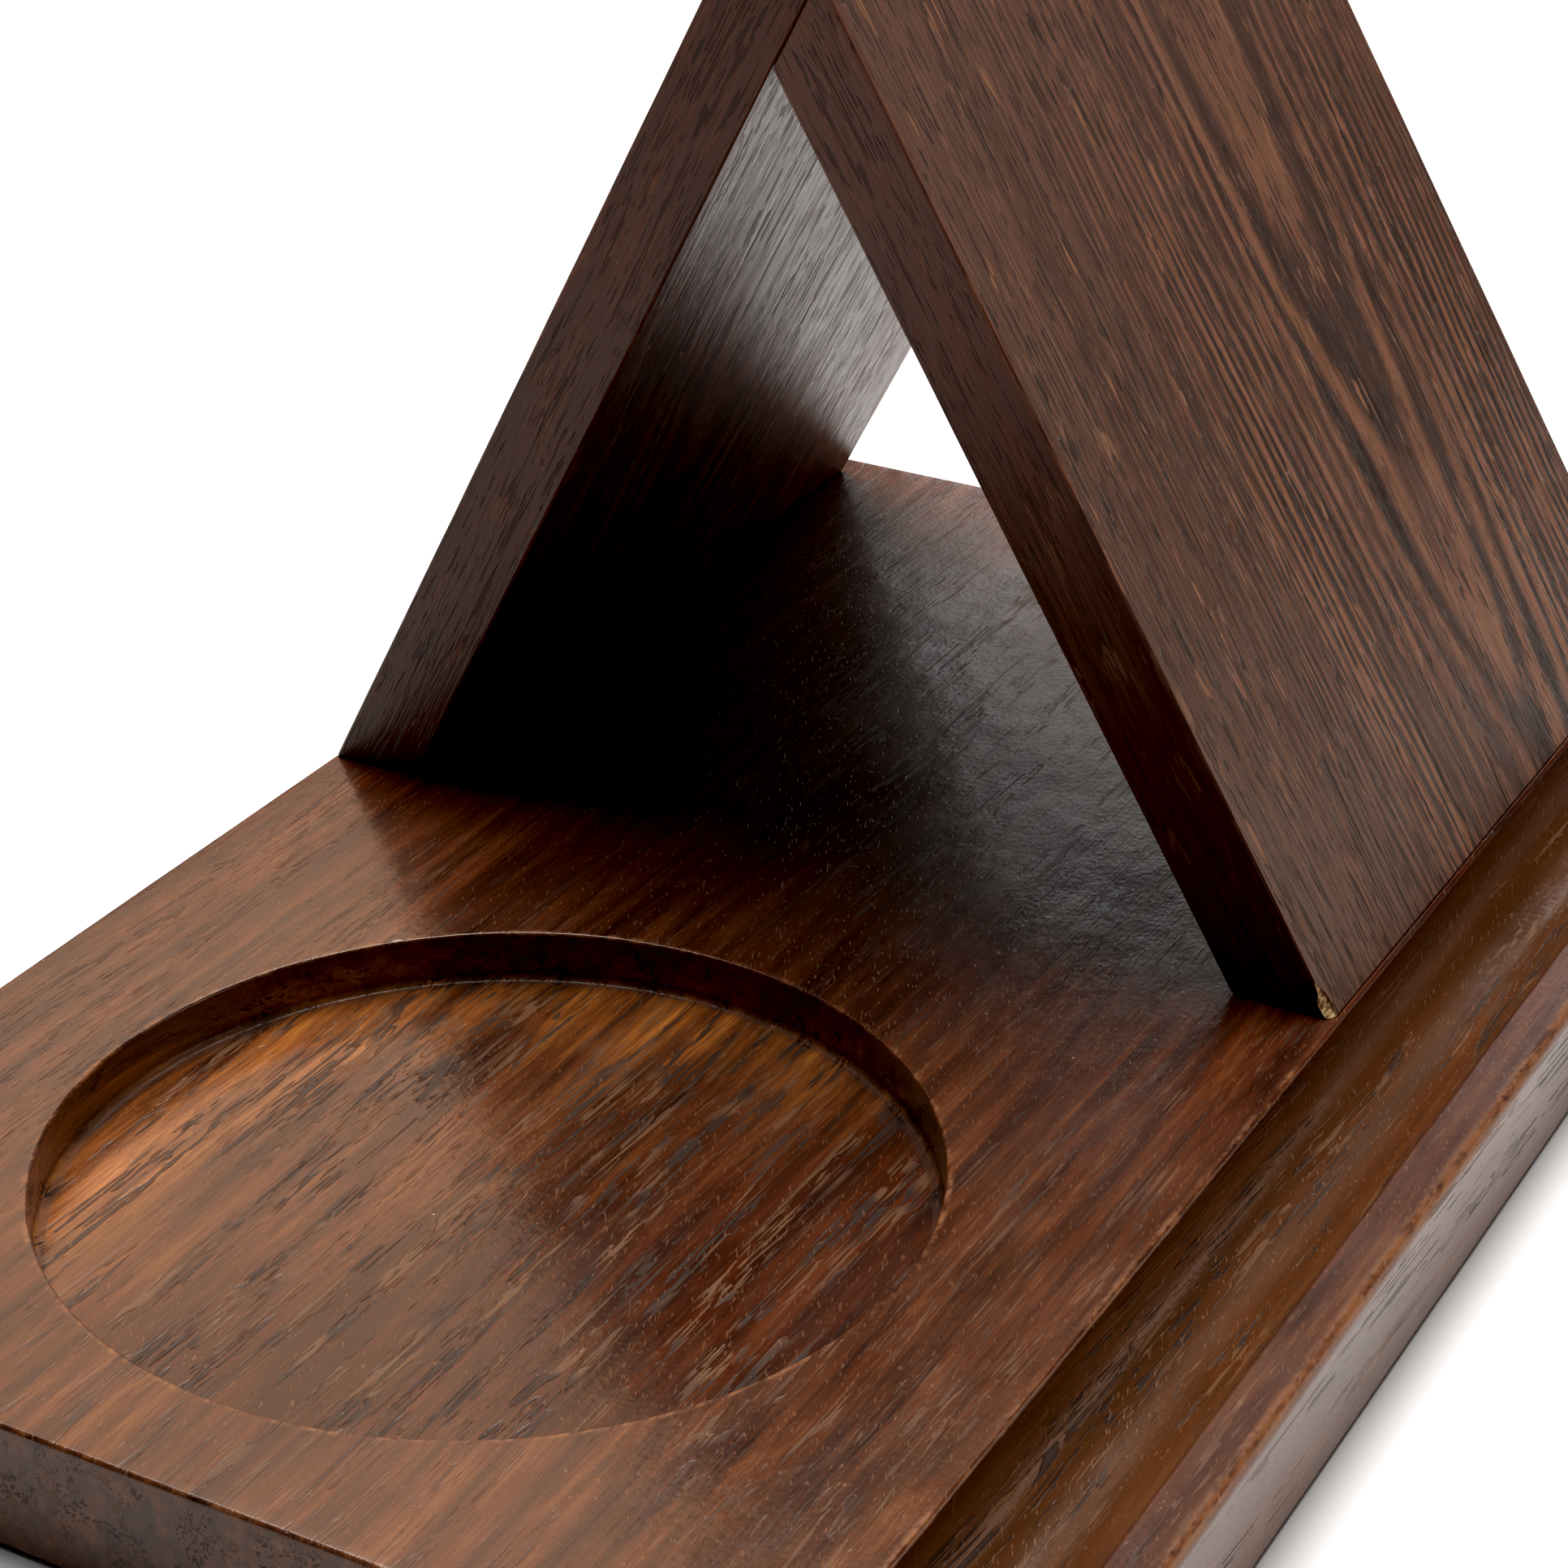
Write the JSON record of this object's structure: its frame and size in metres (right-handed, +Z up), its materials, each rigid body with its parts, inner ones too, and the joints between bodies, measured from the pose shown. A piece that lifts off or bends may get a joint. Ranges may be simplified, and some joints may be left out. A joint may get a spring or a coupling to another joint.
{
  "type": "phone stand",
  "caption": "Wooden desk stand: a plank base with a round cup recess and an edge groove, and an A-frame that a phone leans on.",
  "frame": {"origin": "middle of the base's outline, on the surface that the stand rests on", "axes": "+Y along the base from the cup recess's end to the A-frame's end, +X across it to the groove's side, +Z up"},
  "size_m": [0.132, 0.2074, 0.1128],
  "materials": {
    "base_wood": "oiled reddish-brown walnut, satin, open pores, grain along the base",
    "board_wood": "oiled dark walnut with a flame figure, satin, grain up the boards",
    "dowel_wood": "plain glued beech",
    "pad_rubber": "matt black rubber with a fine texture"
  },
  "bodies": {
    "root": {"base": "base_wood", "rear_board": "board_wood", "front_board": "board_wood", "rear_dowel_near": "dowel_wood", "rear_dowel_far": "dowel_wood", "front_dowel_near": "dowel_wood", "front_dowel_far": "dowel_wood", "apex_dowel_near": "dowel_wood", "apex_dowel_far": "dowel_wood", "pad_near_left": "pad_rubber", "pad_near_right": "pad_rubber", "pad_far_left": "pad_rubber", "pad_far_right": "pad_rubber"}
  },
  "joints": []
}
